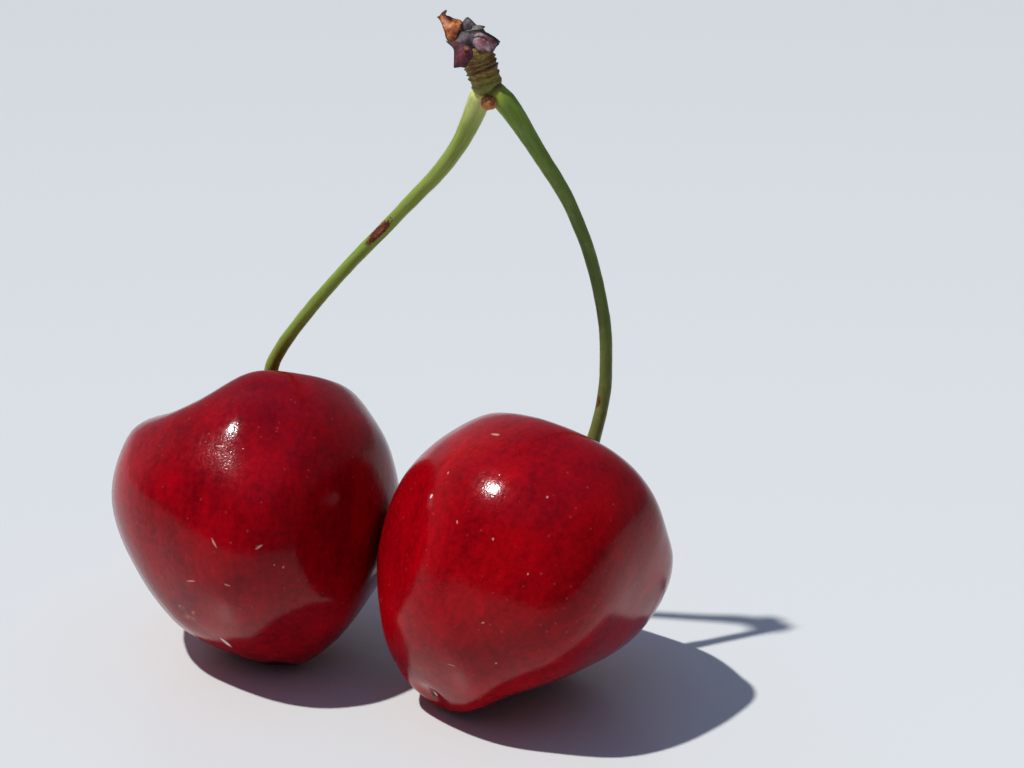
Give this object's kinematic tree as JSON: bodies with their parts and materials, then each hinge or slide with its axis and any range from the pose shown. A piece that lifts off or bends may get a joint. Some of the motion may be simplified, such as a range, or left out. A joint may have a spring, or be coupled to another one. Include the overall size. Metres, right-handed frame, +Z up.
{
  "type": "cherries on stalks",
  "caption": "Sweet cherries joined by curved green stalks to one fruiting spur with dry bud scales, resting on a surface as picked.",
  "frame": {"origin": "on the surface that the fruits rest on, under the middle of the bounding box", "axes": "+Z up; +X to the right and +Y away, seen from the side where both fruits stand in front of the stalks"},
  "size_m": [0.0502, 0.0366, 0.0584],
  "materials": {
    "skin": "glossy crimson fruit skin",
    "stalk": "smooth green stem",
    "spur": "ringed olive brown bark",
    "dark_scale": "dry papery bud scale",
    "amber_scale": "dry papery bud scale"
  },
  "bodies": {
    "root": {"cherry_left": "skin", "cherry_right": "skin", "stalk_left": "stalk", "stalk_right": "stalk", "spur": "spur", "bud_scales_dark": "dark_scale", "bud_scale_amber": "amber_scale"}
  },
  "joints": []
}
